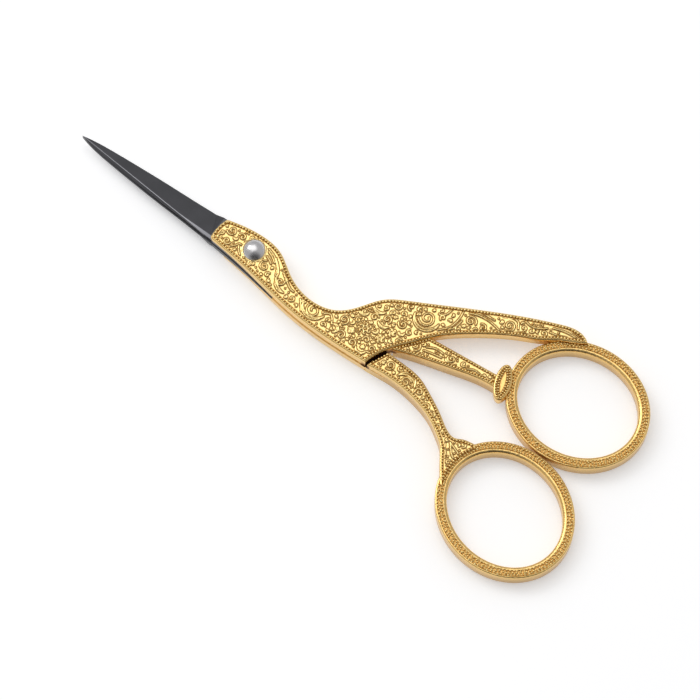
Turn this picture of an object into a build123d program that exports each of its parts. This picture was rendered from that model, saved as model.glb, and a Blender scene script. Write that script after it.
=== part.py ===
from build123d import *
import os
from math import cos, hypot, radians, sin

os.makedirs("parts", exist_ok=True)

# Stork embroidery scissors, lying closed on the under half's flat back. Millimetres.
# The origin is on the pivot axis at the plane that the scissors rest on. The blades point along
# +X, +Z is up through the pivot, and the under half's finger ring is on the +Y side.

# Heights of the castings and of the blades between them
half_depth = 2.2
running_gap = 0.05
blade_depth = 1.1
leg_height = 3.9
ring_height = 3.35
band_rise = 0.15
cartouche_rise = 0.2

# Blades
blade_reach = 38.6
blade_edge = 2.15
blade_back = 2.5
blade_ledge = 0.35
edge_land = 0.15
back_land = 0.55
tip_depth = 0.55
ridge_reach = 14.0
ridge_flat = 0.15
plunge_reach = 8.2
plunge_run = 1.9

# Scarf and tongue that carry each blade in its casting
scarf_start = 3.0
scarf_end = 7.5
scarf_toe = 0.2
tongue_start = 3.5
tongue_reach = 15.0
tongue_width = 1.6
tongue_back = 2.4
tongue_lean = 12.5
tongue_fit = 0.03

# Head, neck and body of the bird
head_reach = 7.8
head_rise = 3.12
nape_dip = 1.6
breast_drop = 5.75
shoulder_rise = 8.6
body_reach = 30.5
body_end_lean = 2.1
collar_front_depth = 0.3
collar_corner = 0.6
plate_proud = 0.15
top_round = 0.3
back_round = 0.5

# Gaps beside the under half's shoulder and above its body plate
shoulder_gap = 0.42
root_clearance = 0.3

# Finger rings
ring_reach = 62.8
ring_stagger = 0.85
ring_length = 26.2
ring_width = 22.9
ring_wall = 2.1
rim_width = 0.3
band_width = 1.15
bore_round = 0.6
rim_round = 0.25
ring_gap = 0.28
upper_tilt = 4.5
under_tilt = -14.5

# Cartouche between the upper leg and its ring
cartouche_length = 6.9
cartouche_width = 3.1
cartouche_lean = 20.5
cartouche_depth = 2.3

# Pivot
stud_radius = 1.2
dome_radius = 2.03
dome_height = 1.25
dome_foot = 0.15
turning_clearance = 0.04
seat_clearance = 0.02
thread_radius = 0.7
thread_depth = 2.4
screw_radius = 1.7
screw_depth = 0.6
screw_sink = 0.05
screw_clearance = 0.05
slot_width = 0.45
slot_depth = 0.3
slot_turn = 4.5

overrun = 1.0

full_height = 2 * half_depth
upper_floor = half_depth + running_gap / 2
under_roof = half_depth - running_gap / 2
parting = Plane.XY.offset(half_depth)


def across_reach(tilt):
    """Half the extent of a tilted finger ring at right angles to the blades."""
    turn = radians(tilt)
    return hypot(ring_length / 2 * sin(turn), ring_width / 2 * cos(turn))


# The two finger rings all but touch when the scissors are closed. The line where they meet lies
# beside the blade axis, a share of the nape's dip away from it.
meeting_share = 0.62
meeting_line = meeting_share * nape_dip
upper_centre = (-ring_reach, meeting_line - ring_gap / 2 - across_reach(upper_tilt))
under_centre = (
    -ring_reach - ring_stagger,
    meeting_line + ring_gap / 2 + across_reach(under_tilt),
)


def by_body(shares, rise):
    """Outline points behind the pivot: shares of the body's reach and of a named rise."""
    return [(-along * body_reach, across * rise) for along, across in shares]


def by_head(shares, rise):
    """Outline points before the pivot: shares of the head's reach and of a named rise."""
    return [(along * head_reach, across * rise) for along, across in shares]


def by_ring(shares, centre):
    """Outline points near a finger ring: shares of its half length and half width."""
    return [
        (centre[0] + along * ring_length / 2, centre[1] + across * ring_width / 2)
        for along, across in shares
    ]


def by_leg(shares, centre):
    """Leg outline points: shares of the run from body to ring, and of the ring's distance."""
    leg_run = -centre[0] - ring_length / 2 - body_reach
    return [(-body_reach - along * leg_run, across * centre[1]) for along, across in shares]


# Corners of the body's end, where the upper half stops short of the under half's shoulder
end_back_share = 0.11
end_breast_share = 0.948
end_back = (-body_reach, end_back_share * breast_drop)
end_breast = (-body_reach + body_end_lean, end_breast_share * breast_drop)
end_length = hypot(end_breast[0] - end_back[0], end_breast[1] - end_back[1])
root_radius = hypot(end_back[0], end_back[1])


def shoulder_point(share):
    """A point of the under leg's shoulder, beside a share of the body end's length."""
    run = (end_breast[0] - end_back[0]) / end_length
    rise = (end_breast[1] - end_back[1]) / end_length
    place = share * end_length
    return (
        end_back[0] + place * run - shoulder_gap * rise,
        end_back[1] + place * rise + shoulder_gap * run,
    )


# Outline of the bird, as shares of the sizes that each stretch follows
crown_shares = [(0.942, -0.625), (0.51, -0.875), (0, -1)]
head_back_shares = [(0.131, -0.8), (0.262, -0.03)]
nape_shares = [(0.449, 1), (0.603, 0.34)]
wing_root_shares = [(0.689, -0.22), (0.787, -0.695), (0.918, -1)]
wing_tip_shares = [(0.824, -0.882), (0.62, -0.95), (0.5, -0.945), (0.375, -0.87)]
tail_shares = [(0.375, -0.87), (0.519, -0.764), (0.748, -0.624), (0.885, -0.507)]
wing_low_shares = [(0.911, 1.386), (0.703, 1.169), (0.495, 0.905), (0.26, 0.535), (0.12, 0.22)]
breast_shares = [(0.787, 0.982), (0.607, 1), (0.426, 0.955), (0.23, 0.81), (0, 0.607)]
chin_shares = [(0.51, 0.522), (1, 0.455)]


def bird_face(proud):
    """Head, neck, body, wing and tail seen from above, with the breast moved out."""
    crown_edge = (
        by_head(crown_shares, head_rise)
        + by_body(head_back_shares, head_rise)
        + by_body(nape_shares, nape_dip)
        + by_body(wing_root_shares, shoulder_rise)
        + by_ring(wing_tip_shares, upper_centre)
    )
    tail_edge = by_ring(tail_shares, upper_centre) + by_leg(wing_low_shares, upper_centre)
    breast_edge = [end_breast] + by_body(breast_shares, breast_drop)
    breast_edge += by_head(chin_shares, breast_drop)
    breast_edge = [(x, y + proud) for x, y in breast_edge]
    chin, crown = breast_edge[-1], crown_edge[0]
    collar_front = ((chin[0] + crown[0]) / 2 + collar_front_depth, (chin[1] + crown[1]) / 2)
    with BuildSketch() as face:
        with BuildLine():
            Spline(*crown_edge)
            Spline(*tail_edge, end_back, breast_edge[0])
            Spline(*breast_edge)
            ThreePointArc(chin, collar_front, crown)
        make_face()
    return face.sketch


def oval_face(centre, tilt, inset):
    """The oval that lies an inset inside a finger ring's outer edge."""
    with BuildSketch() as face:
        with Locations(centre):
            Ellipse(ring_length / 2 - inset, ring_width / 2 - inset, rotation=tilt)
    return face.sketch


def finger_ring(centre, tilt):
    """One finger ring: a rounded oval wall, and on it the raised band for the ornament."""
    with BuildPart() as ring:
        with BuildSketch():
            add(oval_face(centre, tilt, 0))
            add(oval_face(centre, tilt, ring_wall), mode=Mode.SUBTRACT)
        extrude(amount=ring_height)
        fillet(ring.edges().group_by(Axis.Z)[0], back_round)
        fillet(ring.edges().group_by(Axis.Z)[-1].sort_by(SortBy.LENGTH)[0], bore_round)
        fillet(ring.edges().group_by(Axis.Z)[-1].sort_by(SortBy.LENGTH)[-1], rim_round)
        with BuildSketch(parting):
            add(oval_face(centre, tilt, rim_width))
            add(oval_face(centre, tilt, rim_width + band_width), mode=Mode.SUBTRACT)
        extrude(amount=ring_height + band_rise - half_depth)
    return ring.part


# Leg outlines, as shares of the run from the body to the ring and of the ring's distance
upper_near_shares = [(0.234, 0.09), (0.547, 0.25), (0.807, 0.373), (1, 0.405)]
upper_far_shares = [(1, 0.632), (0.547, 0.552), (0.286, 0.505), (0, 0.434)]
cartouche_shares = [(0.977, 0.41)]


def round_sides(leg, radius, level):
    """Round the two long sides of a leg at its lowest or highest level."""
    fillet(leg.edges().group_by(Axis.Z)[level].sort_by(SortBy.LENGTH)[-2:], radius)


def upper_leg():
    """Leg of the upper half, full depth beyond the under half's body plate."""
    near_edge = [end_back] + by_leg(upper_near_shares, upper_centre)
    far_edge = by_leg(upper_far_shares, upper_centre)
    with BuildPart() as leg:
        with BuildSketch():
            with BuildLine():
                Spline(*near_edge)
                Line(near_edge[-1], far_edge[0])
                Spline(*far_edge)
                Line(far_edge[-1], end_back)
            make_face()
        extrude(amount=leg_height)
        round_sides(leg, back_round, 0)
        round_sides(leg, top_round, -1)
        with BuildSketch(Plane.XY.offset(-overrun)):
            Circle(root_radius + root_clearance)
        extrude(amount=overrun + upper_floor, mode=Mode.SUBTRACT)
    return leg.part


def cartouche():
    """Oval plate across the foot of the upper leg, domed at its edge."""
    with BuildPart() as plate:
        with BuildSketch(Plane.XY.offset(leg_height + cartouche_rise - cartouche_depth)):
            with Locations(*by_ring(cartouche_shares, upper_centre)):
                Ellipse(cartouche_width / 2, cartouche_length / 2, rotation=cartouche_lean)
        extrude(amount=cartouche_depth)
        fillet(plate.edges().group_by(Axis.Z)[0], back_round)
        fillet(plate.edges().group_by(Axis.Z)[-1], top_round)
        with BuildSketch():
            add(oval_face(upper_centre, upper_tilt, rim_width + band_width / 2))
        extrude(amount=full_height, mode=Mode.SUBTRACT)
    return plate.part


leg_top_shares = [(0.174, 0.118), (0.348, 0.146), (0.522, 0.26), (0.721, 0.433), (0.861, 0.563)]
fan_top_shares = [(0.925, 0.579), (0.99, 0.531), (1.05, 0.504), (1.104, 0.492)]
fan_inner_shares = [(1.3, 0.8), (1.3, 1.2)]
fan_low_shares = [(1.07, 1.24), (1.01, 1.112), (0.935, 0.948)]
leg_low_shares = [(0.871, 0.803), (0.771, 0.677), (0.622, 0.543), (0.423, 0.449), (0.274, 0.413)]
heel_shares = [(0.124, 0.405)]
shoulder_top_share = 0.12
shoulder_low_share = 0.97


def under_leg():
    """Leg of the under half, from its shoulder to the fan that spreads over the ring."""
    top_edge = [shoulder_point(shoulder_top_share)] + by_leg(leg_top_shares, under_centre)
    fan_top = by_leg(fan_top_shares, under_centre)
    fan_inner = by_leg(fan_inner_shares, under_centre)
    low_edge = by_leg(fan_low_shares + leg_low_shares + heel_shares, under_centre)
    low_edge += [shoulder_point(shoulder_low_share)]
    with BuildPart() as leg:
        with BuildSketch():
            with BuildLine():
                Spline(*top_edge, *fan_top)
                Polyline(fan_top[-1], *fan_inner, low_edge[0])
                Spline(*low_edge)
                Line(low_edge[-1], top_edge[0])
            make_face()
        extrude(amount=leg_height)
        round_sides(leg, top_round, -1)
        with BuildSketch():
            add(oval_face(under_centre, under_tilt, rim_width + band_width / 2))
        extrude(amount=full_height, mode=Mode.SUBTRACT)
    return leg.part


def scarf(extra):
    """Space that a blade's root takes between the parting plane and its casting."""
    with BuildPart() as space:
        with BuildSketch(Plane.XZ):
            with BuildLine():
                Polyline(
                    (-scarf_end - extra, upper_floor - extra),
                    (-scarf_end - extra, upper_floor + scarf_toe),
                    (scarf_start, upper_floor + blade_depth),
                    (blade_reach, upper_floor + blade_depth),
                    (blade_reach, upper_floor - extra),
                    close=True,
                )
            make_face()
        extrude(amount=shoulder_rise, both=True)
        with BuildSketch(Plane.XY.offset(upper_floor - extra)):
            with Locations((-(tongue_start + tongue_reach) / 2, tongue_back)):
                Rectangle(
                    tongue_reach - tongue_start + 2 * extra,
                    tongue_width + 2 * extra,
                    rotation=-tongue_lean,
                )
        extrude(amount=blade_depth + extra)
    return space.part


def round_collar(head):
    """Round the two front corners of a head, or of the blade root inside it."""
    fillet(head.edges().filter_by(Axis.Z).sort_by(Axis.X)[-2:], collar_corner)


def to_under(shape):
    """Turn an upper piece over the parting plane to the under half's side."""
    return mirror(shape, about=parting, mode=Mode.PRIVATE)


# Upper casting: head, neck, body and wing above the parting plane, with leg and ring below
with BuildPart() as upper_handle:
    with BuildSketch(Plane.XY.offset(upper_floor)):
        add(bird_face(0))
    extrude(amount=full_height - upper_floor)
    round_collar(upper_handle)
    fillet(upper_handle.edges().group_by(Axis.Z)[-1], top_round)
    add(upper_leg())
    add(cartouche())
    add(finger_ring(upper_centre, upper_tilt))
    add(scarf(tongue_fit), mode=Mode.SUBTRACT)
    with BuildSketch(parting):
        Circle(stud_radius + turning_clearance)
    extrude(amount=full_height, mode=Mode.SUBTRACT)
upper_handle.part.label = "upper_handle"
export_step(upper_handle.part, "parts/upper_handle.step")

# Under casting: head and body plate below the parting plane, and the full-depth leg and ring
under_chin_share = 0.4
plate_radius = root_radius - root_clearance / 3
bridge_shares = [(0.985, 0.215), (0.895, 0.948), (0.942, 0.957)]
bridge_edge = by_body(bridge_shares, breast_drop)
bridge_edge += by_leg(heel_shares + leg_top_shares[:1], under_centre)
bridge_edge += [shoulder_point(shoulder_top_share)]
with BuildPart() as under_handle:
    with BuildSketch():
        add(bird_face(plate_proud))
        Circle(plate_radius, mode=Mode.INTERSECT)
        chin_start = (under_chin_share * head_reach, breast_drop)
        with BuildLine():
            Polyline(chin_start, (head_reach, -head_rise), (2 * head_reach, breast_drop), close=True)
        make_face(mode=Mode.SUBTRACT)
    extrude(amount=under_roof)
    fillet(under_handle.edges().group_by(Axis.Z)[0], back_round)
    with BuildSketch():
        with BuildLine():
            Polyline(*bridge_edge, close=True)
        make_face()
    extrude(amount=under_roof)
    add(under_leg())
    add(finger_ring(under_centre, under_tilt))
    add(to_under(scarf(tongue_fit)), mode=Mode.SUBTRACT)
    with BuildSketch():
        Circle(stud_radius + seat_clearance)
    extrude(amount=full_height, mode=Mode.SUBTRACT)
    with BuildSketch():
        Circle(screw_radius + screw_clearance)
    extrude(amount=screw_sink + screw_depth, mode=Mode.SUBTRACT)
under_handle.part.label = "under_handle"
export_step(under_handle.part, "parts/under_handle.step")


# Blade outline, as shares of the run from its root inside the head to its tip, and of the
# width on either side of the blade axis. The grinds stand on its fourth point, and meet in a
# ridge that lies at a share of the back's width.
root_share = 0.95
ridge_share = 0.78
blade_shares = [(0, 1), (0.035, 1), (0.208, 0.89), (0.406, 0.77), (0.592, 0.62), (0.79, 0.42)]
blade_shares += [(0.913, 0.235), (1, 0)]


def by_blade(shares, width):
    """Outline points of one side of a blade, from its root to its tip."""
    root = root_share * head_reach
    return [(root + along * (blade_reach - root), across * width) for along, across in shares]


def grind(*points):
    """Space above the plane through three points, from the sloping plunge to beyond the tip."""
    first, second, third = [Vector(*point) for point in points]
    up = (second - first).cross(third - first)
    up = up if up.Z > 0 else -up
    with BuildPart() as space:
        with BuildSketch(Plane(origin=first, x_dir=second - first, z_dir=up)):
            Rectangle(2 * blade_reach, 2 * blade_reach)
        extrude(amount=full_height)
        plunge_top = (plunge_reach, 0, upper_floor + blade_depth)
        plunge = Plane(origin=plunge_top, x_dir=(0, 1, 0), z_dir=(blade_depth, 0, plunge_run))
        with BuildSketch(plunge):
            Rectangle(2 * blade_reach, 2 * blade_reach)
        extrude(amount=2 * blade_reach, mode=Mode.INTERSECT)
    return space.part


def blade(edge_width, back_width):
    """One blade on its flat side at the parting plane, with its cutting edge toward -Y."""
    edge_side = by_blade(blade_shares, -edge_width)
    back_side = by_blade(blade_shares, back_width)
    floor = upper_floor
    top = floor + blade_depth
    tip = (blade_reach, 0, floor + tip_depth)
    flat_tip = (blade_reach, ridge_flat / 2, floor + tip_depth)
    edge_foot = (*edge_side[3], floor + edge_land)
    back_foot = (*back_side[3], floor + back_land)
    ridge_side = ridge_share * back_width
    ridge = (ridge_reach, ridge_side, top)
    flat_ridge = (ridge_reach, ridge_side + ridge_flat, top)
    with BuildPart() as steel:
        with BuildSketch(Plane.XY.offset(floor)):
            with BuildLine():
                Spline(*edge_side)
                Spline(*back_side)
                Line(edge_side[0], back_side[0])
            make_face()
        extrude(amount=blade_depth)
        add(grind(ridge, (ridge_reach, 0, top), tip), mode=Mode.SUBTRACT)
        add(grind(ridge, tip, edge_foot), mode=Mode.SUBTRACT)
        add(grind(flat_ridge, flat_tip, back_foot), mode=Mode.SUBTRACT)
    return steel.part


def tang(face):
    """Root of a blade: what the scarf leaves of the steel inside a casting's outline."""
    with BuildPart() as root:
        with BuildSketch(Plane.XY.offset(upper_floor)):
            add(face)
        extrude(amount=blade_depth)
        round_collar(root)
        add(scarf(0), mode=Mode.INTERSECT)
    return root.part


with BuildPart() as upper_blade:
    add(blade(blade_edge, blade_back))
    add(tang(bird_face(0)))
    with BuildSketch():
        Circle(stud_radius + turning_clearance)
    extrude(amount=full_height, mode=Mode.SUBTRACT)
upper_blade.part.label = "upper_blade"
export_step(upper_blade.part, "parts/upper_blade.step")

# The under blade is turned over. Its edge stands out past the upper blade's back as a ledge.
ledge_blade = blade(blade_back + blade_ledge, blade_edge - blade_ledge)
with BuildPart() as under_blade:
    add(to_under(mirror(ledge_blade, about=Plane.XZ, mode=Mode.PRIVATE)))
    add(to_under(tang(bird_face(plate_proud))))
    with BuildSketch():
        Circle(stud_radius + seat_clearance)
    extrude(amount=full_height, mode=Mode.SUBTRACT)
under_blade.part.label = "under_blade"
export_step(under_blade.part, "parts/under_blade.step")

# Pivot: a domed stud through both halves, closed by a slotted screw in the back
dome_seat = full_height + running_gap
stud_foot = screw_sink + screw_depth + screw_clearance
dome_start = (dome_radius, dome_seat + dome_foot)
dome_top = (0, dome_seat + dome_height)
with BuildPart() as pivot_stud:
    with BuildSketch(Plane.XZ):
        with BuildLine():
            Polyline(
                dome_top,
                (0, stud_foot),
                (stud_radius, stud_foot),
                (stud_radius, dome_seat),
                (dome_radius, dome_seat),
                dome_start,
            )
            TangentArc(dome_top, dome_start, tangent=(1, 0))
        make_face()
    revolve(axis=Axis.Z)
    with BuildSketch():
        Circle(thread_radius)
    extrude(amount=stud_foot + thread_depth, mode=Mode.SUBTRACT)
pivot_stud.part.label = "pivot_stud"
export_step(pivot_stud.part, "parts/pivot_stud.step")

with BuildPart() as pivot_screw:
    with BuildSketch(Plane.XY.offset(screw_sink)):
        Circle(screw_radius)
    extrude(amount=screw_depth)
    with BuildSketch(Plane.XY.offset(screw_sink)):
        Circle(thread_radius - screw_clearance)
    extrude(amount=screw_depth + thread_depth)
    with BuildSketch():
        Rectangle(screw_radius + 2 * overrun, slot_width, rotation=slot_turn)
    extrude(amount=screw_sink + slot_depth, mode=Mode.SUBTRACT)
pivot_screw.part.label = "pivot_screw"
export_step(pivot_screw.part, "parts/pivot_screw.step")
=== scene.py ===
import math
import bmesh
import bpy
import numpy as np
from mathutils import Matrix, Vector, kdtree
from mathutils.geometry import delaunay_2d_cdt


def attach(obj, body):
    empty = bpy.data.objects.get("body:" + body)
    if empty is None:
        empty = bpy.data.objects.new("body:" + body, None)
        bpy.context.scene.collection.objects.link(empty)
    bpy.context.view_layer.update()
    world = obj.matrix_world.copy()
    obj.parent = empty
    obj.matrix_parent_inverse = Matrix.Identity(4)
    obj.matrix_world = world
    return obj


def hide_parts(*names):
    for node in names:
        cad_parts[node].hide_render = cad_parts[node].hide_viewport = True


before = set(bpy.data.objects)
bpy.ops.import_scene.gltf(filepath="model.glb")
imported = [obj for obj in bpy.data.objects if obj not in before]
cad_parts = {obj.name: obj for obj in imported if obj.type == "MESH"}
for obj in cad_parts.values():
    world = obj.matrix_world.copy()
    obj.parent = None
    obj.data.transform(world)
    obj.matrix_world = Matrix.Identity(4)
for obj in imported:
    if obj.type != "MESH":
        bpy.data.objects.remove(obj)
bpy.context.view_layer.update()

# Upper casting: head, neck, body, wing, leg, cartouche and finger ring in one brass casting.
# It is gilded, and its flat faces are chased by hand with scrolls and leaves between beaded
# borders. Brown patina has stayed in the lowest lines. Lengths and places are in millimetres.
MM = 0.001
bright_gold = (0.98, 0.76, 0.35)
deep_gold = (0.88, 0.62, 0.22)
# Gold tones and patina. The walls' deeper orange gold is a painted warm reflection, and the brown and the
# black colour both the patina in the hollows and painted shade.
painted_reflection_gold = (0.88, 0.57, 0.20)
brown_patina_and_shade = (0.36, 0.16, 0.03)
black_patina_and_shade = (0.03, 0.012, 0.004)

# Distances from a raised line: its own rib, the groove that outlines it, and the plain walls
rib_reach = 0.22
groove_reach = 0.24
groove_half_width = 0.11
wall_reach = 3

# The step where the upper body ends beside the under half's shoulder, and the parting plane, both
# darkened with painted shade
step_foot = (-30.5, 0.63)
step_way = (0.3994, 0.9167)
step_length = 5.2
step_margin = 1.2
step_sink = 0.15
parting_height = 2.2
leg_height = 3.9
body_reach = 31


class Wire:
    """One output of a shader node. Sums and products of wires add their Math nodes."""

    def __init__(self, tree, socket=None):
        self.tree = tree
        self.socket = socket

    def node(self, kind, settings=None, inputs=None, output=0):
        """Wire from a new node, with its settings made before its inputs are set or linked."""
        made = self.tree.nodes.new(kind)
        for name, value in (settings or {}).items():
            setattr(made, name, value)
        for name, value in (inputs or {}).items():
            if isinstance(value, Wire):
                self.tree.links.new(value.socket, made.inputs[name])
            else:
                made.inputs[name].default_value = value
        return Wire(self.tree, made.outputs[output])

    def maths(self, operation, first, second=0.0, clamp=False):
        settings = {"operation": operation, "use_clamp": clamp}
        return self.node("ShaderNodeMath", settings, {0: first, 1: second})

    def __add__(self, other):
        return self.maths("ADD", self, other)

    def __radd__(self, other):
        return self.maths("ADD", other, self)

    def __sub__(self, other):
        return self.maths("SUBTRACT", self, other)

    def __rsub__(self, other):
        return self.maths("SUBTRACT", other, self)

    def __mul__(self, other):
        return self.maths("MULTIPLY", self, other)

    def __rmul__(self, other):
        return self.maths("MULTIPLY", other, self)

    def __truediv__(self, other):
        return self.maths("DIVIDE", self, other)

    def size(self):
        return self.maths("ABSOLUTE", self)

    def clamped(self):
        return self.maths("ADD", self, 0.0, clamp=True)

    def mix(self, low, high):
        """Colour that goes from low to high as this wire goes from 0 to 1."""
        low, high = ((*c, 1) if isinstance(c, tuple) else c for c in (low, high))
        return self.node("ShaderNodeMix", {"data_type": "RGBA"}, {0: self, 6: low, 7: high}, output=2)

    def noise(self, scale, detail):
        """Even noise over this wire's places."""
        return self.node("ShaderNodeTexNoise", None, {"Vector": self, "Scale": scale, "Detail": detail})

    def millimetres(self):
        """This wire's places as x, y and z in millimetres."""
        return [self.node("ShaderNodeSeparateXYZ", None, {0: self}, output=k) / MM for k in range(3)]


def metal(name, settings):
    """A new all-metal material. Returns it with its shader node and a wire of object places."""
    made = bpy.data.materials.new(name)
    made.use_nodes = True
    tree = made.node_tree
    shader = tree.nodes["Principled BSDF"]
    shader.inputs["Metallic"].default_value = 1
    for socket, value in settings.items():
        shader.inputs[socket].default_value = value
    return made, shader, Wire(tree).node("ShaderNodeTexCoord", output="Object")


def into(shader, socket, wire):
    wire.tree.links.new(wire.socket, shader.inputs[socket])


def bumped(shader, height, strength, depth):
    """Bumps a surface by a height, to a depth in metres."""
    settings = {"Strength": strength, "Distance": depth, "Height": height}
    into(shader, "Normal", height.node("ShaderNodeBump", None, settings))


def painted_step_shade(x, y, z):
    """Painted shade in the corner of the step, darkest at its foot."""
    off = step_way[1] * (x - step_foot[0]) - step_way[0] * (y - step_foot[1])
    up = step_way[0] * (x - step_foot[0]) + step_way[1] * (y - step_foot[1])
    beside = (3 - 3.3 * off.size()).clamped()
    beside = beside * (up + step_margin).clamped() * (step_length + 1 - up).clamped()
    low = (10 * (z - parting_height + step_sink)).clamped()
    return beside * low * (0.7 * (leg_height - z)).clamped()


def gilding():
    """Polished gilding, brown where patina lies low and thinly outlined round each raised line, with
    painted shade on the lower walls, in the step and along the parting, and a painted warm reflection on
    the walls.
    """
    made, shader, place = metal("gilding", {})
    # This attribute holds the patina in the hollows and the painted shade on the lower walls
    low = place.node("ShaderNodeAttribute", {"attribute_name": "patina_and_shade"}, output=2)
    gap = place.node("ShaderNodeAttribute", {"attribute_name": "gap"}, output=2)
    x, y, z = place.millimetres()
    cloud, hammer, grain = place.noise(420.0, 3.0), place.noise(1700.0, 1.0), place.noise(5200.0, 2.0)
    groove = (1 - (gap - groove_reach).size() / groove_half_width).clamped()
    rib = (1 - gap / rib_reach).clamped()
    # Painted shade along the parting plane between the two halves
    parting = (6 - 100 * (z - parting_height).size()).clamped() * (x + body_reach).clamped()
    # Dark: patina and the chased grooves, with painted shade on the lower walls, in the step and at the
    # parting
    dark = low + 0.42 * groove * (0.4 + 1.2 * grain) + 0.85 * painted_step_shade(x, y, z) + 0.22 * parting
    dark = dark.clamped()
    # The walls get a deeper orange gold: a painted warm reflection
    gold = (0.6 * (gap - wall_reach)).clamped().mix(cloud.mix(deep_gold, bright_gold), painted_reflection_gold)
    # Brown, then near black, for patina and painted shade alike
    brown = (dark * 2.0).clamped().mix(gold, brown_patina_and_shade)
    into(shader, "Base Color", (dark * 2.0 - 1.0).clamped().mix(brown, black_patina_and_shade))
    into(shader, "Roughness", 0.18 + 0.12 * cloud + 0.25 * dark)
    bumped(shader, 0.6 * rib - groove + 0.16 * grain + 0.75 * hammer, 1.0, 0.00007)
    return made


gilding_metal = gilding()

# Share of a scroll's full turns that is cut before its line gets too tight, how many points
# its line and a leaf's edge have for each millimetre and turn, and the step along a curve
scroll_share = 0.74
scroll_points = 90
leaf_points = 60
curve_step = 0.04


def spiral(x, y, radius, turns=1.7, start=0.0, hand=1):
    """Points of a scroll that winds in from its radius. Angles in turns."""
    wound = scroll_share * turns
    t = np.linspace(0, 1, max(12, int(radius * wound * scroll_points)))
    reach = radius * (1 - 0.8 * t ** 0.9)
    angle = 2 * math.pi * (start + hand * wound * t)
    return np.stack([x + reach * np.cos(angle), y + reach * np.sin(angle)], 1)


def curve(*points):
    """A smooth chased line through the points."""
    points = np.array(points, float)
    knots = np.arange(len(points))
    count = max(8, int(np.hypot(*np.diff(points, axis=0).T).sum() / curve_step))
    t = np.linspace(0, len(points) - 1, count)
    padded = np.vstack([2 * points[0] - points[1], points, 2 * points[-1] - points[-2]])
    index = np.minimum(t.astype(int), len(points) - 2)
    u = (t - knots[index])[:, None]
    a, b, c, d = (padded[index + k] for k in range(4))
    second, third = 2 * a - 5 * b + 4 * c - d, 3 * b - a - 3 * c + d
    return 0.5 * (2 * b + (c - a) * u + second * u ** 2 + third * u ** 3)


def crescent(x, y, radius, start, sweep=0.5, fat=0.35):
    """Outline of a leaf that curls round a centre."""
    t = np.linspace(0, 1, max(10, int(radius * leaf_points * sweep)))
    angle = 2 * math.pi * (start + sweep * t)
    outer, inner = np.full_like(t, radius), radius - fat * np.sin(math.pi * t) ** 0.8
    sides = [np.stack([x + r * np.cos(angle), y + r * np.sin(angle)], 1) for r in (outer, inner)]
    return np.vstack(sides)


def flower(x, y, radius, petals=5, turn=0.0):
    """A rosette: curled petals round an eye."""
    far = 0.62 * radius
    curls = []
    for angle in 2 * math.pi * (np.arange(petals) / petals + turn):
        place = x + far * math.cos(angle), y + far * math.sin(angle)
        curls.append(spiral(*place, 0.42 * radius, 0.95, angle / (2 * math.pi) + 0.3))
    return np.vstack(curls + [[(x, y)]])


head_lines = [
    spiral(5.3, -0.75, 0.95, 1.6, 0.1, 1), spiral(5.0, 1.35, 0.75, 1.6, 0.5, -1),
    spiral(3.1, -0.8, 0.7, 1.5, 0.0, -1), spiral(6.6, 0.5, 0.45, 1.2, 0.2, 1),
    curve((2.7, 0.9), (2.2, 1.6), (1.5, 2.2)), curve((3.9, 2.0), (3.2, 1.2), (2.9, 0.6), (2.4, 0.5)),
    curve((-2.1, -1.75), (-3.6, -1.2), (-5.2, 0.1), (-6.0, 1.6)),
    curve((-2.4, -1.3), (-3.5, -0.8), (-4.4, -0.2)),
    curve((-4.1, -1.1), (-5.3, -0.1), (-6.2, 1.1), (-6.3, 2.1)), spiral(-3.35, 1.35, 1.05, 1.5, 0.8, 1),
    curve((-2.6, -0.4), (-3.3, -0.1), (-4.0, 0.3)), spiral(-7.3, 2.0, 0.85, 1.4, 0.6, -1),
    crescent(-8.3, 1.7, 1.9, 0.03, 0.28, 0.4),
    curve((-6.9, 0.4), (-8.2, 1.3), (-9.6, 2.1), (-10.4, 2.2)), spiral(-10.9, 3.4, 0.6, 1.4, 0.2, 1),
    spiral(-8.3, 0.8, 0.4, 1.2, 0.0, 1),
]
neck_lines = [
    spiral(-15.3, 2.95, 1.75, 2.1, 0.55, 1), crescent(-15.2, 2.4, 2.25, 0.03, 0.44, 0.4),
    curve((-12.2, 2.6), (-12.9, 3.5), (-13.6, 4.3)), spiral(-13.0, 2.5, 0.45, 1.3, 0.0, 1),
    spiral(-18.2, 4.1, 0.55, 1.2, 0.5, 1),
    curve((-17.3, 2.2), (-18.2, 1.8), (-19.0, 2.4), (-19.4, 3.2)),
    spiral(-18.6, 2.9, 0.45, 1.2, 0.1, -1),
]
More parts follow.
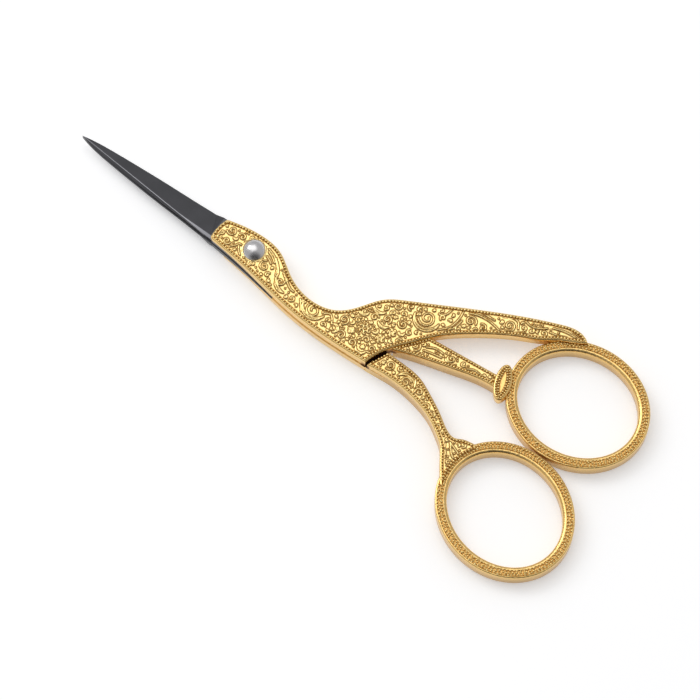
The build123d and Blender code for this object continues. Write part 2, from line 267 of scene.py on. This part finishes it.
body_lines = [
    flower(-24.7, 0.3, 1.45, 6), spiral(-20.7, 1.1, 0.95, 1.7, 0.3, 1),
    crescent(-20.2, 3.5, 0.8, 0.3, 0.6), spiral(-21.9, 3.8, 0.95, 1.6, 0.0, -1),
    flower(-22.9, 2.0, 0.8, 4), spiral(-22.8, -0.3, 0.6, 1.4, 0.7, 1),
    spiral(-24.3, 3.8, 0.8, 1.5, 0.4, 1), spiral(-26.1, 1.9, 0.7, 1.5, 0.1, -1),
    crescent(-26.3, 3.9, 0.95, 0.02, 0.5, 0.3), flower(-27.9, 0.3, 1.1, 5, 0.3),
    spiral(-27.8, 2.8, 0.85, 1.6, 0.2, 1), crescent(-22.6, -2.3, 0.9, 0.05, 0.5, 0.3),
    spiral(-22.7, -2.2, 0.5, 1.3, 0.4, -1), crescent(-24.6, -4.6, 1.3, 0.05, 0.4, 0.35),
    spiral(-24.8, -2.4, 0.75, 1.5, 0.6, 1), spiral(-26.9, -6.5, 0.95, 1.6, 0.9, -1),
    spiral(-26.8, -3.4, 0.85, 1.6, 0.4, 1), crescent(-26.8, -2.6, 1.1, 0.08, 0.36, 0.3),
    flower(-28.9, -1.8, 1.05, 5, 0.1), spiral(-29.6, -4.2, 0.85, 1.6, 0.0, 1),
    spiral(-28.6, -5.9, 0.55, 1.3, 0.5, 1), spiral(-28.9, -7.8, 0.7, 1.4, 0.3, -1),
    spiral(-31.4, -3.6, 0.6, 1.4, 0.8, 1), spiral(-31.0, -1.3, 0.6, 1.4, 0.1, -1),
]
wing_lines = [
    spiral(-32.4, -7.7, 1.6, 2.1, 0.1, 1), crescent(-32.4, -7.6, 2.35, 0.02, 0.5, 0.45),
    spiral(-34.6, -9.4, 0.55, 1.3, 0.2, -1),
    curve((-35.0, -11.5), (-34.7, -10.3), (-34.0, -9.6), (-33.6, -9.6)),
    curve((-35.2, -7.0), (-36.6, -8.8), (-37.0, -11.0), (-36.8, -12.6)),
    curve((-36.2, -7.2), (-37.3, -9.2), (-37.6, -10.9)), spiral(-38.9, -11.8, 1.05, 1.8, 0.5, 1),
    spiral(-38.0, -9.2, 0.5, 1.3, 0.0, 1),
    curve((-37.9, -12.9), (-39.6, -13.5), (-41.6, -13.7), (-43.6, -13.4), (-45.6, -12.9)),
    spiral(-41.3, -12.0, 0.75, 1.5, 0.9, -1), curve((-38.2, -13.6), (-40.0, -14.2), (-42.2, -14.4)),
    spiral(-44.9, -15.1, 1.15, 1.8, 0.25, 1),
    curve((-43.0, -15.9), (-44.3, -16.6), (-45.7, -16.6), (-46.5, -15.5)),
    spiral(-43.3, -12.6, 0.4, 1.2, 0.2, 1), curve((-46.5, -14.6), (-47.6, -15.4), (-49.0, -15.7)),
    curve((-46.4, -17.6), (-47.8, -17.3), (-49.2, -17.6), (-50.6, -18.6)),
    curve((-47.2, -18.4), (-49.5, -19.2), (-52.0, -20.3), (-54.5, -20.8), (-56.5, -20.6)),
    spiral(-50.6, -17.5, 0.6, 1.3, 0.4, 1),
    curve((-51.5, -19.3), (-53.3, -19.9), (-55.0, -20.1), (-56.4, -20.0)),
    curve((-51.4, -18.3), (-52.8, -18.6), (-54.2, -19.2)), spiral(-48.6, -16.6, 0.5, 1.3, 0.7, -1),
    spiral(-40.4, -10.9, 0.45, 1.3, 0.4, 1),
]
upper_leg_lines = [
    spiral(-33.7, -2.5, 1.0, 1.8, 0.3, 1), crescent(-33.7, -2.2, 1.45, 0.05, 0.4, 0.3),
    curve((-35.4, -3.4), (-36.9, -4.1), (-38.4, -4.1)),
    curve((-35.3, -2.6), (-37.0, -3.0), (-38.6, -3.3)), spiral(-40.2, -4.2, 0.75, 1.6, 0.0, 1),
    crescent(-40.4, -4.0, 1.1, 0.05, 0.4, 0.3), spiral(-42.5, -4.6, 0.5, 1.4, 0.4, -1),
    curve((-43.4, -4.2), (-44.6, -4.8), (-45.7, -4.8)), spiral(-46.6, -5.0, 0.4, 1.3, 0.1, 1),
]
bird_lines = head_lines + neck_lines + body_lines + wing_lines


def loops_of(edges):
    """Closed rounds of corner numbers from one-way edges."""
    following = {}
    for a, b in edges:
        following.setdefault(a, []).append(b)
    rounds = []
    while following:
        first = next(iter(following))
        walk = [first]
        while True:
            ways = following[walk[-1]]
            step = ways.pop()
            if not ways:
                del following[walk[-1]]
            if step == first:
                break
            walk.append(step)
        rounds.append(walk)
    return rounds


def inside(points, starts, ends):
    """Which points lie inside the region that the edges bound."""
    found = np.zeros(len(points), bool)
    batch = 4000
    for low in range(0, len(points), batch):
        x, y = points[low:low + batch, 0, None], points[low:low + batch, 1, None]
        crosses = (starts[:, 1] > y) != (ends[:, 1] > y)
        rise = np.where(ends[:, 1] == starts[:, 1], 1, ends[:, 1] - starts[:, 1])
        at = starts[:, 0] + (y - starts[:, 1]) * (ends[:, 0] - starts[:, 0]) / rise
        found[low:low + batch] = (crosses & (x < at)).sum(1) % 2 == 1
    return found


def tree_of(points):
    tree = kdtree.KDTree(len(points))
    for index, (x, y) in enumerate(points):
        tree.insert((x, y, 0), index)
    tree.balance()
    return tree


def nearest(tree, points):
    """Distance from each point to the nearest point of the tree."""
    return np.array([tree.find((x, y, 0))[2] for x, y in points])


def along(starts, ends, step):
    """Points every step along the edges."""
    made = []
    for a, b in zip(starts, ends):
        count = max(1, int(np.hypot(*(b - a)) / step))
        made.append(a + (b - a) * (np.arange(count) / count)[:, None])
    return np.vstack(made)


# Room round a small mark, close where the ground is filled densely and open elsewhere. Marks
# under the smallest curl are dots, and nowhere stands in for a level without marks.
close_room = 0.38
open_room = 0.52
tries_per_mark = 6
mark_spread = 0.12
smallest_curl = 0.15
nowhere = np.array([[1e3, 1e3]])


def small_mark(x, y, size, draw):
    """A dot, curl, three-petal flower or leaf, as the draw falls."""
    kind, start = draw.random(), draw.random()
    if size < smallest_curl:
        return np.array([[x, y]])
    if kind < 0.6:
        return spiral(x, y, size, 1.0 + 0.7 * size, start, 1 if kind < 0.3 else -1)
    if kind < 0.8 and size > 0.4:
        return flower(x, y, size, 3, start)
    return crescent(x, y, size, start, 0.55, 0.5 * size)


def filled(lines, rim, rim_tree, edges, margin, sizes, seed, dense):
    """The lines, with small marks in the ground that they leave, closest in the dense stretches."""
    draw = np.random.default_rng(seed)
    low, high = rim.min(0), rim.max(0)
    taken = np.vstack(lines) if lines else nowhere
    made = list(lines)
    for size in sizes:
        count = int(tries_per_mark * (high - low).prod() / (size + mark_spread) ** 2 / 4)
        spots = low + draw.random((count, 2)) * (high - low)
        spots = spots[inside(spots, *edges)]
        spots = spots[nearest(rim_tree, spots) > margin + size]
        for x, y in spots:
            room = close_room if any(start < x < end for start, end in dense) else open_room
            if np.hypot(taken[:, 0] - x, taken[:, 1] - y).min() < size + room:
                continue
            mark = small_mark(x, y, size, draw)
            made.append(mark)
            taken = np.vstack([taken, mark])
    return made


# How far a flat face may stray from its level, and shares of a level's grid spacing: from row to
# row, and kept clear of the border
flatness = 0.004
row_share = 0.866
rim_share = 0.55


def flat_level(corners, faces, height, up):
    """Faces outside one flat level of a casting, and the one-way edges of the level's border."""
    a, b, c = (corners[faces[:, k]] for k in range(3))
    normal = np.cross(b - a, c - a)
    flat = np.abs(corners[faces][:, :, 2] - height).max(1) < flatness
    flat &= normal[:, 2] * up > 0
    chosen = faces[flat]
    ways = np.vstack([chosen[:, [0, 1]], chosen[:, [1, 2]], chosen[:, [2, 0]]])
    pairs = set(map(tuple, ways.tolist()))
    border = [(p, q) for p, q in pairs if (q, p) not in pairs]
    if up < 0:
        border = [(q, p) for p, q in border]
    return faces[~flat], border


def even_grid(rim, rim_tree, edges, spacing):
    """Points inside the edges, in staggered rows, with their distance from the rim."""
    low, high = rim.min(0), rim.max(0)
    rows = np.arange(low[1], high[1], spacing * row_share)
    columns = np.arange(low[0], high[0], spacing)
    grid = np.array([(x + (k % 2) * spacing / 2, y) for k, y in enumerate(rows) for x in columns])
    grid = grid[inside(grid, *edges)]
    away = nearest(rim_tree, grid)
    clear = away > rim_share * spacing
    return grid[clear], away[clear]


def spanned(corners, border, grid, edges):
    """Triangles over a level's border corners and its grid, which follows the other corners."""
    used = np.unique(border)
    flat_points = np.vstack([corners[used, :2], grid])
    renumber = {int(v): k for k, v in enumerate(used)}
    fixed = [(renumber[int(p)], renumber[int(q)]) for p, q in border]
    result = delaunay_2d_cdt([Vector(p) for p in flat_points], fixed, [], 0, 1e-6, True)
    places = np.array([tuple(p) for p in result[0]])
    tris = np.array(result[2])
    tris = tris[inside(places[tris].mean(1), *edges)]
    origin = np.array([ids[0] if ids else -1 for ids in result[3]])
    old = used[np.clip(origin, 0, len(used) - 1)]
    number = np.where(origin < len(used), old, origin - len(used) + len(corners))
    return number[tris]


# Fewest points in a run of beads, and the share of its inset that it keeps from every border
fewest_points = 5
inset_share = 0.9


def runs(points, good):
    """The unbroken stretches of a closed path where it is good."""
    shift = 0 if good.all() else int(np.argmin(good))
    points, good = np.roll(points, -shift, 0), np.roll(good, -shift)
    if good.all():
        return [np.vstack([points, points[:1]])]
    cuts = np.flatnonzero(np.diff(good.astype(int))) + 1
    pieces = zip(np.split(points, cuts), np.split(good, cuts))
    return [run for run, fine in pieces if fine[0] and len(run) > fewest_points]


def border_rows(corners, loops, rim_tree, inset, step=0.1):
    """Paths that run an inset inside the border of a level."""
    paths = []
    for loop in loops:
        ring = corners[loop][:, :2]
        points = along(ring, np.roll(ring, -1, 0), step)
        ahead = np.roll(points, -2, 0) - np.roll(points, 2, 0)
        ahead /= np.maximum(np.hypot(ahead[:, 0], ahead[:, 1]), 1e-9)[:, None]
        moved = points + inset * np.stack([-ahead[:, 1], ahead[:, 0]], 1)
        paths += runs(moved, nearest(rim_tree, moved) > inset_share * inset)
    return paths


# Outer half axes of a finger ring, how far inside them its raised band has its middle row of
# beads, and the room that this row keeps at the border
ring_half_length = 13.1
ring_half_width = 11.45
band_inset = 0.875
band_clearance = 0.4


def band_row(rim_tree, edges, x, y, tilt, step=0.1):
    """Path along the middle of a finger ring's raised band."""
    half_length, half_width = ring_half_length - band_inset, ring_half_width - band_inset
    count = int(2 * math.pi * half_length / step)
    t = np.linspace(0, 2 * math.pi, count, endpoint=False)
    lean = math.radians(tilt)
    a, b = half_length * np.cos(t), half_width * np.sin(t)
    across = x + a * math.cos(lean) - b * math.sin(lean)
    points = np.stack([across, y + a * math.sin(lean) + b * math.cos(lean)], 1)
    return runs(points, inside(points, *edges) & (nearest(rim_tree, points) > band_clearance))


# Chasing: the step of points round a level, heights over and under its flat, widths of lines and
# slopes, the patina that beads stand in, and how deep beads lie above and on the back
rim_step = 0.05
line_rise = 0.17
line_width = 0.2
ground_depth = 0.09
ground_slope = 0.08
stud_slope = 0.1
channel_depth = 0.1
channel_margin = 0.1
channel_patina = 0.72
back_depth = 0.085
bead_clearance = 0.05
mark_clearance = 0.12
top_bed = 0.02
back_bed_share = 1.1


def chased(corners, faces, height, up, bead, insets, lines, spacing, seed, sizes,
           dense=((-99, 99), ), keep_out=0, ground=0.0, ring=None):
    """Chases one flat level, up or down. Returns corners, faces, patina, gaps and bead paths."""
    radius = bead[0]
    rest, border = flat_level(corners, faces, height, up)
    loops = loops_of(border)
    border = np.array(border)
    edges = corners[border[:, 0], :2], corners[border[:, 1], :2]
    rim = along(*edges, rim_step)
    rim_tree = tree_of(rim)
    grid, away = even_grid(rim, rim_tree, edges, spacing)
    # Field is 1 on the ground inside the rows of beads, and channel is 1 along the middle of a row
    edge = insets[-1] + radius + bead_clearance
    marks = filled(lines, rim, rim_tree, edges, edge + mark_clearance, sizes, seed, dense)
    gap = nearest(tree_of(np.vstack(marks or [nowhere])), grid)
    field = np.clip((away - edge) / ground_slope, 0, 1)
    field *= np.clip((np.hypot(grid[:, 0], grid[:, 1]) - keep_out) / stud_slope, 0, 1)
    off_row = np.min([np.abs(away - inset) for inset in insets], axis=0)
    channel = np.clip(1 - (off_row / (radius + channel_margin)) ** 2, 0, 1) ** 0.5
    relief = line_rise * np.exp(-(gap / line_width) ** 2) * field
    relief = relief - ground_depth * field - channel_depth * channel
    if up < 0:
        relief = relief - back_depth
    stain = np.maximum((ground or channel_patina) * channel, ground * field)
    tris = spanned(corners, border, grid, edges)
    corners = np.vstack([corners, np.column_stack([grid, height + up * relief])])
    a, b, c = (corners[tris[:, k], :2] for k in range(3))
    turn = (b[:, 0] - a[:, 0]) * (c[:, 1] - a[:, 1]) - (b[:, 1] - a[:, 1]) * (c[:, 0] - a[:, 0])
    wrong = turn * up < 0
    tris[wrong] = tris[wrong][:, ::-1]
    paths = [path for inset in insets for path in border_rows(corners, loops, rim_tree, inset)]
    if ring:
        paths += band_row(rim_tree, edges, *ring)
    bed = height - top_bed if up > 0 else height + back_bed_share * radius
    paths = [[(x, y, bed) for x, y in path] for path in paths]
    return corners, np.vstack([rest, tris]), stain, gap + 2 * (1 - field), paths


# Walls of a casting: painted shade that darkens the walls behind the body towards their foot, the gap
# that stands for no line, the distance in metres within which corners are welded, and the angle of a
# sharp edge in degrees
painted_wall_shade = 0.23
shade_top = 3.6
shade_depth = 1.8
wall_gap = 4.0
weld_distance = 2e-6
sharp_angle = 38


def casting(node, name, body, levels):
    """Replaces a cast node by its chased skin. Returns the bead paths by kind of bead."""
    source = bmesh.new()
    source.from_mesh(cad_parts[node].data)
    bmesh.ops.remove_doubles(source, verts=source.verts, dist=weld_distance)
    bmesh.ops.triangulate(source, faces=source.faces)
    corners = np.array([tuple(v.co) for v in source.verts]) / MM
    faces = np.array([[v.index for v in f.verts] for f in source.faces])
    source.free()
    behind_body = np.clip((step_foot[0] - corners[:, 0]) / 2, 0, 1)
    # Painted shade: the walls behind the body darken towards their foot
    patina_and_shade_parts = [painted_wall_shade * behind_body * np.clip((shade_top - corners[:, 2]) / shade_depth, 0, 1)]
    gaps = [np.full(len(corners), wall_gap)]
    beads = {}
    for level in levels:
        corners, faces, stain, gap, paths = chased(corners, faces, **level)
        patina_and_shade_parts.append(stain)
        gaps.append(gap)
        beads.setdefault(level["bead"], []).extend(paths)
    mesh = bpy.data.meshes.new(name)
    mesh.from_pydata((corners * MM).tolist(), [], faces.tolist())
    mesh.validate()
    for label, values in (("patina_and_shade", patina_and_shade_parts), ("gap", gaps)):
        mesh.attributes.new(label, "FLOAT", "POINT").data.foreach_set("value", np.concatenate(values))
    mesh.polygons.foreach_set("use_smooth", [True] * len(mesh.polygons))
    mesh.set_sharp_from_angle(angle=math.radians(sharp_angle))
    mesh.materials.append(gilding_metal)
    piece = bpy.data.objects.new(name, mesh)
    bpy.context.scene.collection.objects.link(piece)
    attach(piece, body)
    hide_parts(node)
    return beads


# Kinds of bead, by radius, pitch, breadth across the row and unevenness as a share of the radius
edge_bead = (0.25, 0.58, 1.08, 0.12)
leg_bead = (0.23, 0.53, 1.08, 0.12)
oval_bead = (0.21, 0.47, 1.1, 0.1)
ring_bead = (0.25, 0.6, 0.84, 0.42)
back_bead = (0.2, 0.5, 1.1, 0.1)

# What each level has in common on both castings: a leg's top, a ring's band and a flat back
small_sizes = (0.4, 0.25, 0.1)
leg_top = dict(height=leg_height, up=1, bead=leg_bead, insets=(0.14, ), spacing=0.11, sizes=small_sizes)
ring_band = dict(
    height=3.5, up=1, bead=ring_bead, insets=(0.21, ), spacing=0.13, lines=[], sizes=(), ground=0.36,
)
flat_back = dict(height=0.0, up=-1, bead=back_bead, insets=(0.24, ), sizes=small_sizes)
bird_top = dict(
    height=4.4, up=1, bead=edge_bead, insets=(0.15, ), spacing=0.11, sizes=(0.5, 0.35, 0.22, 0.12),
    dense=((-57.5, -45.5), (-31.5, -19.8), (2.2, 8)), keep_out=2.1,
)
cartouche_top = dict(
    height=4.1, up=1, bead=oval_bead, insets=(0.16, 0.6), spacing=0.11, lines=[], sizes=(),
)

# Middle of the finger ring, and its tilt in degrees
upper_ring = (-62.8, -10.609, 4.5)
upper_beads = casting("upper_handle", "upper_casting", "upper_half", [
    dict(bird_top, lines=bird_lines, seed=3),
    dict(leg_top, lines=upper_leg_lines, seed=5),
    dict(cartouche_top, seed=5),
    dict(ring_band, seed=7, ring=upper_ring),
    dict(flat_back, lines=upper_leg_lines, spacing=0.2, seed=9),
])


# Milled beads along the borders of the upper casting. They were punched one by one with a
# cupped tool after casting, so they sit half sunk in a narrow channel inside each smooth edge.
def bead_tree():
    """Geometry nodes that set beads along paths, a pitch apart."""
    tree = bpy.data.node_groups.new("beads along a border", "GeometryNodeTree")
    face = tree.interface
    face.new_socket("Geometry", in_out="INPUT", socket_type="NodeSocketGeometry")
    sizes = {"Pitch": 0.0005, "Bead Radius": 0.0002, "Across": 1.0, "Height": 1.0, "Uneven": 0.00003}
    for label, value in sizes.items():
        face.new_socket(label, in_out="INPUT", socket_type="NodeSocketFloat").default_value = value
    face.new_socket("Metal", in_out="INPUT", socket_type="NodeSocketMaterial")
    face.new_socket("Geometry", in_out="OUTPUT", socket_type="NodeSocketGeometry")
    add = tree.nodes.new
    given, result = add("NodeGroupInput"), add("NodeGroupOutput")
    line, spread = add("GeometryNodeMeshToCurve"), add("GeometryNodeResampleCurve")
    spread.mode = "LENGTH"
    points = add("GeometryNodeCurveToPoints")
    points.mode = "EVALUATED"
    ball = add("GeometryNodeMeshUVSphere")
    ball.inputs["Segments"].default_value = 10
    ball.inputs["Rings"].default_value = 6
    place, shape = add("GeometryNodeInstanceOnPoints"), add("ShaderNodeCombineXYZ")
    shape.inputs["X"].default_value = 1.0
    real, paint = add("GeometryNodeRealizeInstances"), add("GeometryNodeSetMaterial")
    smooth = add("GeometryNodeSetShadeSmooth")
    strays = add("FunctionNodeRandomValue")
    strays.data_type = "FLOAT_VECTOR"
    strays.inputs["Seed"].default_value = 21
    least, most = add("ShaderNodeVectorMath"), add("ShaderNodeVectorMath")
    for limit, way in ((least, -1), (most, 1)):
        limit.operation = "SCALE"
        limit.inputs[0].default_value = (way, way, 0.4 * way)
    move = add("GeometryNodeSetPosition")
    growth, grow = add("FunctionNodeRandomValue"), add("ShaderNodeVectorMath")
    grow.operation = "SCALE"
    for socket, value in (("Min", 0.82), ("Max", 1.1), ("Seed", 22)):
        next(item for item in growth.inputs if item.name == socket and item.enabled).default_value = value
    aim = add("FunctionNodeAlignEulerToVector")
    aim.axis = "X"
    aim.pivot_axis = "Z"
    for start, output, end, entry in (
        (given, "Geometry", line, 0), (line, 0, spread, "Curve"), (given, "Pitch", spread, "Length"),
        (spread, 0, points, 0), (points, "Points", move, 0), (move, 0, place, "Points"),
        (points, "Tangent", aim, "Vector"), (given, "Uneven", least, "Scale"),
        (given, "Uneven", most, "Scale"), (least, 0, strays, "Min"), (most, 0, strays, "Max"),
        (strays, 0, move, "Offset"), (growth, 1, grow, "Scale"), (aim, 0, place, "Rotation"),
        (given, "Bead Radius", ball, "Radius"), (ball, 0, place, "Instance"),
        (given, "Across", shape, "Y"), (given, "Height", shape, "Z"), (shape, 0, grow, 0),
        (grow, 0, place, "Scale"), (place, 0, real, 0), (real, 0, smooth, 0), (smooth, 0, paint, 0),
        (given, "Metal", paint, "Material"), (paint, 0, result, 0),
    ):
        tree.links.new(start.outputs[output], end.inputs[entry])
    return tree


beads_tree = bead_tree()
bead_height_share = 0.95


def set_beads(name, body, rows):
    """Sets a casting's beads along its rows and joins them to one plain mesh."""
    entries = [item for item in beads_tree.interface.items_tree if item.in_out == "INPUT"]
    sockets = {item.name: item.identifier for item in entries}
    whole = bmesh.new()
    for (radius, pitch, across, uneven), paths in rows.items():
        corners, edges = [], []
        for path in paths:
            edges += [(len(corners) + k, len(corners) + k + 1) for k in range(len(path) - 1)]
            corners += [tuple(v * MM for v in point) for point in path]
        mesh = bpy.data.meshes.new("bead path")
        mesh.from_pydata(corners, edges, [])
        carrier = bpy.data.objects.new("bead path", mesh)
        bpy.context.scene.collection.objects.link(carrier)
        modifier = carrier.modifiers.new("beads", "NODES")
        modifier.node_group = beads_tree
        modifier[sockets["Pitch"]] = pitch * MM
        modifier[sockets["Bead Radius"]] = radius * MM
        modifier[sockets["Across"]] = across
        modifier[sockets["Height"]] = bead_height_share
        modifier[sockets["Uneven"]] = uneven * radius * MM
        modifier[sockets["Metal"]] = gilding_metal
        graph = bpy.context.evaluated_depsgraph_get()
        whole.from_mesh(bpy.data.meshes.new_from_object(carrier.evaluated_get(graph)))
        bpy.data.objects.remove(carrier)
    mesh = bpy.data.meshes.new(name)
    whole.to_mesh(mesh)
    whole.free()
    mesh.materials.append(gilding_metal)
    mesh.polygons.foreach_set("material_index", [0] * len(mesh.polygons))
    mesh.polygons.foreach_set("use_smooth", [True] * len(mesh.polygons))
    piece = bpy.data.objects.new(name, mesh)
    bpy.context.scene.collection.objects.link(piece)
    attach(piece, body)


set_beads("upper_beading", "upper_half", upper_beads)

# Under casting: head and body plate below the parting plane, then the deep leg, the fan with
# its drop-shaped leaf and the second finger ring, in the same gilt brass. It is chased and
# beaded on both sides, with the bird's neck and body repeated on its flat back.
under_leg_lines = [
    spiral(-32.2, 3.1, 0.9, 1.7, 0.2, 1), crescent(-36.2, 4.2, 1.85, 0.52, 0.45, 0.5),
    spiral(-36.2, 4.1, 1.0, 1.7, 0.6, 1), spiral(-34.0, 2.6, 0.55, 1.3, 0.5, -1),
    spiral(-39.2, 4.2, 0.8, 1.6, 0.1, -1), curve((-38.4, 2.6), (-39.9, 3.3), (-41.2, 4.5)),
    spiral(-41.7, 5.6, 0.65, 1.5, 0.4, 1), spiral(-43.6, 6.2, 0.5, 1.3, 0.8, -1),
    spiral(-45.5, 7.6, 0.75, 1.6, 0.4, 1),
    curve((-49.0, 8.5), (-50.2, 8.95), (-51.3, 9.4), (-51.7, 10.1), (-51.2, 10.5), (-50.5, 10.2),
        (-49.8, 9.45), (-49.0, 8.5)), spiral(-50.8, 11.7, 0.62, 1.7, 0.3, 1),
    curve((-48.4, 9.2), (-49.0, 10.1), (-49.7, 10.8)), spiral(-51.2, 7.55, 0.5, 1.6, 0.3, 1),
]
under_ring = (-63.65, 12.692, -14.5)
under_beads = casting("under_handle", "under_casting", "under_half", [
    dict(leg_top, lines=under_leg_lines, seed=11),
    dict(ring_band, seed=13, ring=under_ring),
    dict(flat_back, lines=neck_lines + body_lines + under_leg_lines, spacing=0.17, seed=15),
])
set_beads("under_beading", "under_half", under_beads)

# Blades: two slim forgings of carbon steel, blacked in hardening and then ground. The faces
# are left dark and satin, with a painted highlight along the ridge, widest beside the collar.
ridge_slope = 2.13 / 24.6
blade_tip = 38.6
lowest_bright = 2.3
fine_width = 0.15
added_width = 0.6
broad_start = 15.5
broad_run = 8.0


def blade_steel():
    made, shader, place = metal("blacked blade steel", {})
    lengthwise = place.node("ShaderNodeMapping", None, {"Vector": place, "Scale": (40.0, 6000.0, 2000.0)})
    grain, cloud = lengthwise.noise(1.0, 3.0), place.noise(260.0, 2.0)
    x, y, z = place.millimetres()
    beside_ridge = ridge_slope * (blade_tip - x) - y
    broad = ((broad_start - x) / broad_run).clamped()
    width = fine_width + added_width * broad
    # Painted highlight: a pale streak along the ridge on the upper side, wider towards the collar
    painted_ridge_highlight = ((beside_ridge + 0.02) / 0.05).clamped() * ((width - beside_ridge) / 0.08).clamped()
    painted_ridge_highlight = painted_ridge_highlight * ((z - lowest_bright) / 0.1).clamped() * (1 - 0.5 * broad)
    black = cloud.mix((0.068, 0.068, 0.072), (0.1, 0.1, 0.107))
    into(shader, "Base Color", painted_ridge_highlight.mix(black, (0.30, 0.30, 0.32)))
    into(shader, "Roughness", 0.28 + 0.14 * grain)
    bumped(shader, grain, 0.1, 0.00002)
    return made


blade_metal = blade_steel()
for node in ("upper_blade", "under_blade"):
    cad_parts[node].data.materials.clear()
    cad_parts[node].data.materials.append(blade_metal)


# Pivot: a domed steel stud, turned and polished bright. It passes through both halves, and a
# slotted screw in its foot closes it from the back.
def pivot_steel():
    made, shader, place = metal("polished pivot steel", {"Base Color": (0.66, 0.65, 0.65, 1)})
    cloud = place.noise(1100.0, 4.0)
    into(shader, "Roughness", 0.12 + 0.32 * cloud)
    bumped(shader, cloud, 0.25, 0.00006)
    return made


pivot_metal = pivot_steel()
for node in ("pivot_stud", "pivot_screw"):
    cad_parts[node].data.materials.clear()
    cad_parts[node].data.materials.append(pivot_metal)

# Table: a matt white board that the scissors lie on. The camera and the polished metal see it
# as pure white, and it keeps their soft shadows.
table_glow = 0.33


def white_table():
    bpy.ops.mesh.primitive_plane_add(size=3.0, location=(0, 0, 0))
    table = bpy.context.object
    table.name = "table"
    made = bpy.data.materials.new("white table")
    made.use_nodes = True
    tree = made.node_tree
    shader = tree.nodes["Principled BSDF"]
    shader.inputs["Base Color"].default_value = (0.9, 0.9, 0.9, 1)
    shader.inputs["Roughness"].default_value = 0.9
    shader.inputs["Specular IOR Level"].default_value = 0.1
    shader.inputs["Emission Color"].default_value = (1, 1, 1, 1)
    kinds = ("Is Camera Ray", "Is Glossy Ray", "Is Transmission Ray")
    seen, mirrored, through = (Wire(tree).node("ShaderNodeLightPath", output=kind) for kind in kinds)
    into(shader, "Emission Strength", (seen + mirrored + through).clamped() * table_glow)
    table.data.materials.append(made)


white_table()

# Lamps and walls: a broad soft lamp overhead and a smaller one at the left of the page, in a
# room with even pale walls that is darker behind the camera.
right = Vector((-0.8069, -0.5908, 0))
up_page = Vector((0.5908, -0.8069, 0))
centre = Vector((-0.02396, 0.00388, 0))


def lamp(name, energy, size, place):
    light = bpy.data.lights.new(name, "AREA")
    light.energy = energy
    light.size = size
    hung = bpy.data.objects.new(name, light)
    hung.location = place
    hung.rotation_euler = (centre - place).to_track_quat("-Z", "Y").to_euler()
    bpy.context.scene.collection.objects.link(hung)


overhead_place = centre + right * -0.12 + up_page * 0.3 + Vector((0, 0, 0.9))
key_place = centre + right * -0.5 + up_page * 0.35 + Vector((0, 0, 0.6))
lamp("overhead", energy=2.35, size=0.85, place=overhead_place)
lamp("key", energy=1.3, size=0.4, place=key_place)


def walls():
    world = bpy.data.worlds.new("studio")
    world.use_nodes = True
    tree = world.node_tree
    way = Wire(tree).node("ShaderNodeTexCoord", output="Generated")
    toward = (up_page * -0.92 + right * 0.12 + Vector((0, 0, 0.38))).normalized()
    both = {0: way, 1: tuple(toward)}
    facing = way.node("ShaderNodeVectorMath", {"operation": "DOT_PRODUCT"}, both, output=1)
    wall = ((facing - 0.55) / 0.4).clamped().mix((0.55, 0.55, 0.56), (0.06, 0.06, 0.06))
    back = tree.nodes["Background"]
    tree.links.new(wall.socket, back.inputs["Color"])
    back.inputs["Strength"].default_value = 1.0
    bpy.context.scene.world = world


walls()

# Camera: on a stand, with a long lens that keeps the scissors in proportion. It looks down on
# their middle from 70 degrees above the table.
view_height = math.radians(70)
view_distance = 0.637
out = up_page * -math.cos(view_height) + Vector((0, 0, math.sin(view_height)))
camera = bpy.data.cameras.new("camera")
camera.lens = 185.1
camera.sensor_width = 36
camera.clip_start = 0.05
stand = bpy.data.objects.new("camera", camera)
stand.location = centre + view_distance * out
stand.rotation_euler = (-out).to_track_quat("-Z", "Y").to_euler()
bpy.context.scene.collection.objects.link(stand)
bpy.context.scene.camera = stand
bpy.context.scene.view_settings.view_transform = "Standard"
